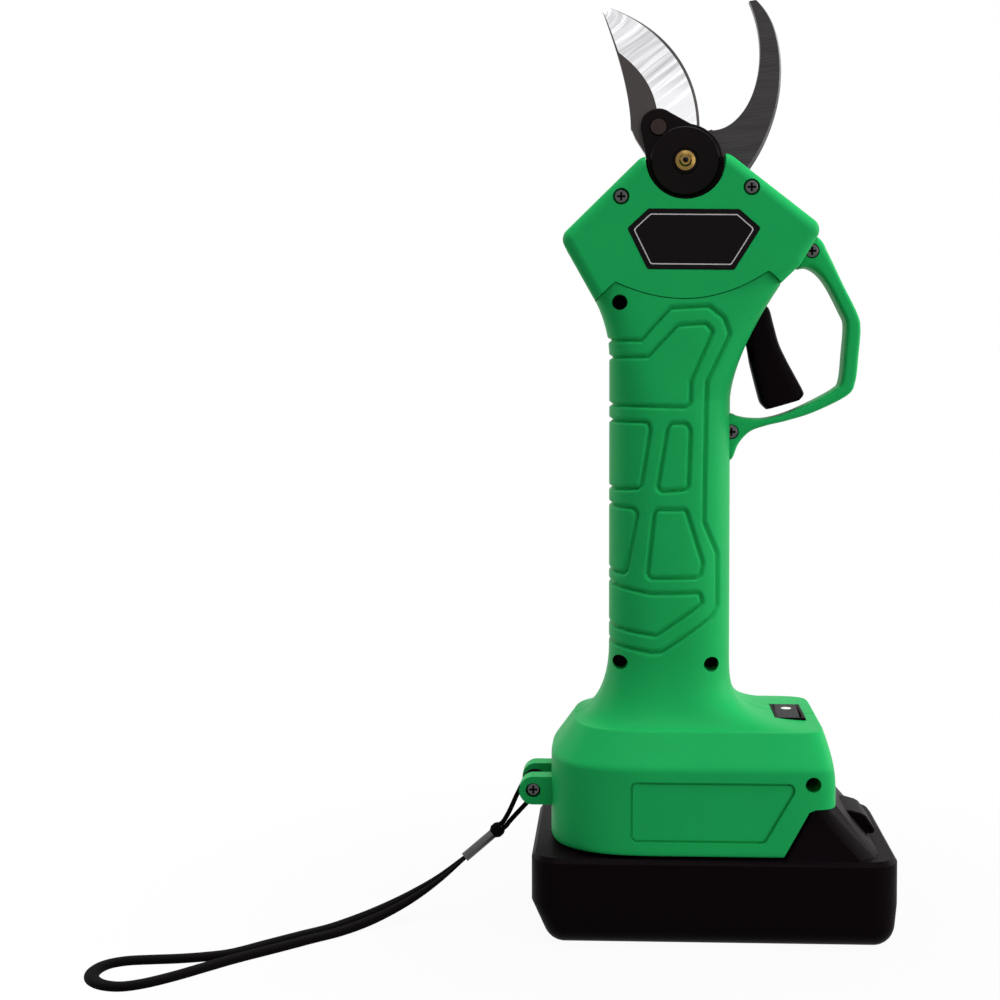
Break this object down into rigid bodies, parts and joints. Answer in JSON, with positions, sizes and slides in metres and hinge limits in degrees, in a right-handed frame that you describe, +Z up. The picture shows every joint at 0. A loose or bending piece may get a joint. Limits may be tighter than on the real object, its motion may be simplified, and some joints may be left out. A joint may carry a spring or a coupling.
{
  "type": "battery electric pruner",
  "caption": "Hand-held cordless pruner: a curved blade swings against a fixed hook, driven by a motor in the handle, on a slide-on battery foot with a wrist strap",
  "frame": {"origin": "on the floor under the handle's axis, at the battery's flat bottom", "axes": "+Z up along the handle, +X towards the trigger, +Y away from the badge side"},
  "size_m": [0.2478, 0.1193, 0.3028],
  "materials": {
    "green_plastic": "satin",
    "black_plastic": "satin",
    "black_metal": "satin",
    "polished_steel": "polished",
    "dark_steel": "brushed",
    "brass": "polished",
    "case_metal": "cast",
    "board": "matte",
    "cell_wrap": "gloss",
    "webbing": "woven"
  },
  "bodies": {
    "body": {"front_shell": "green_plastic", "rear_shell": "green_plastic", "head_cover_front": "green_plastic", "head_cover_rear": "green_plastic", "badge_plate": "black_plastic", "trigger_guard": "green_plastic", "hook_blade": "dark_steel", "pivot_bush": "brass", "shaft_bearing": "polished_steel", "gear_case": "case_metal", "hook_screws": "dark_steel", "pinion_bearing": "polished_steel", "gearbox_housing": "case_metal", "motor": "polished_steel", "trigger_pin": "polished_steel", "trigger_spring": "polished_steel", "trigger_switch": "black_plastic", "switch_bezel": "black_plastic", "control_board": "board", "terminal_block": "black_plastic", "head_screws": "dark_steel", "guard_screws": "polished_steel", "housing_screws": "dark_steel", "lug_screw": "dark_steel", "lug_sleeve": "dark_steel", "strap_cord": "webbing", "strap_knot": "webbing", "strap_crimp": "polished_steel", "strap_tape": "webbing"},
    "blade": {"moving_blade": "polished_steel", "driver_plate": "black_metal", "drive_pin": "dark_steel", "pivot_shaft": "polished_steel", "shaft_nut": "dark_steel", "grease_nipple": "brass", "bevel_sector": "dark_steel"},
    "pinion": {"bevel_pinion": "dark_steel"},
    "trigger": {"trigger": "black_plastic"},
    "rocker": {"power_rocker": "black_plastic"},
    "battery": {"battery_case_lower": "black_plastic", "battery_case_upper": "black_plastic", "battery_cells": "cell_wrap", "battery_board": "board", "battery_terminals": "brass", "latch_spring": "polished_steel"},
    "latch": {"latch_button": "black_plastic"}
  },
  "joints": [
    {"name": "blade_pivot", "type": "hinge", "parent": "body", "child": "blade", "pos_m": [0.0046, 0, 0.2494], "axis": [0, 1, 0], "range_deg": [0, 52]},
    {"name": "pinion_spin", "type": "hinge", "parent": "body", "child": "pinion", "pos_m": [0.0046, 0, 0.2344], "axis": [0, 0, 1], "range_deg": [0, 156]},
    {"name": "trigger_pull", "type": "hinge", "parent": "body", "child": "trigger", "pos_m": [0.0245, 0, 0.197], "axis": [0, 1, 0], "range_deg": [0, 12], "stiffness_Nm_per_rad": 0.3, "springref_deg": -8.59},
    {"name": "rocker_tilt", "type": "hinge", "parent": "body", "child": "rocker", "pos_m": [0.0396, 0, 0.0649], "axis": [-1, 0, 0], "range_deg": [0, 14]},
    {"name": "battery_slide", "type": "slide", "parent": "body", "child": "battery", "axis": [1, 0, 0], "range_m": [0, 0.085]},
    {"name": "latch_push", "type": "slide", "parent": "battery", "child": "latch", "axis": [-1, 0, 0], "range_m": [0, 0.0025], "stiffness_N_per_m": 600, "springref_m": -0.002, "deforming": ["latch_spring"]}
  ],
  "couplings": [
    {"joint": "pinion_spin", "follows": "blade_pivot", "ratio": 3}
  ]
}
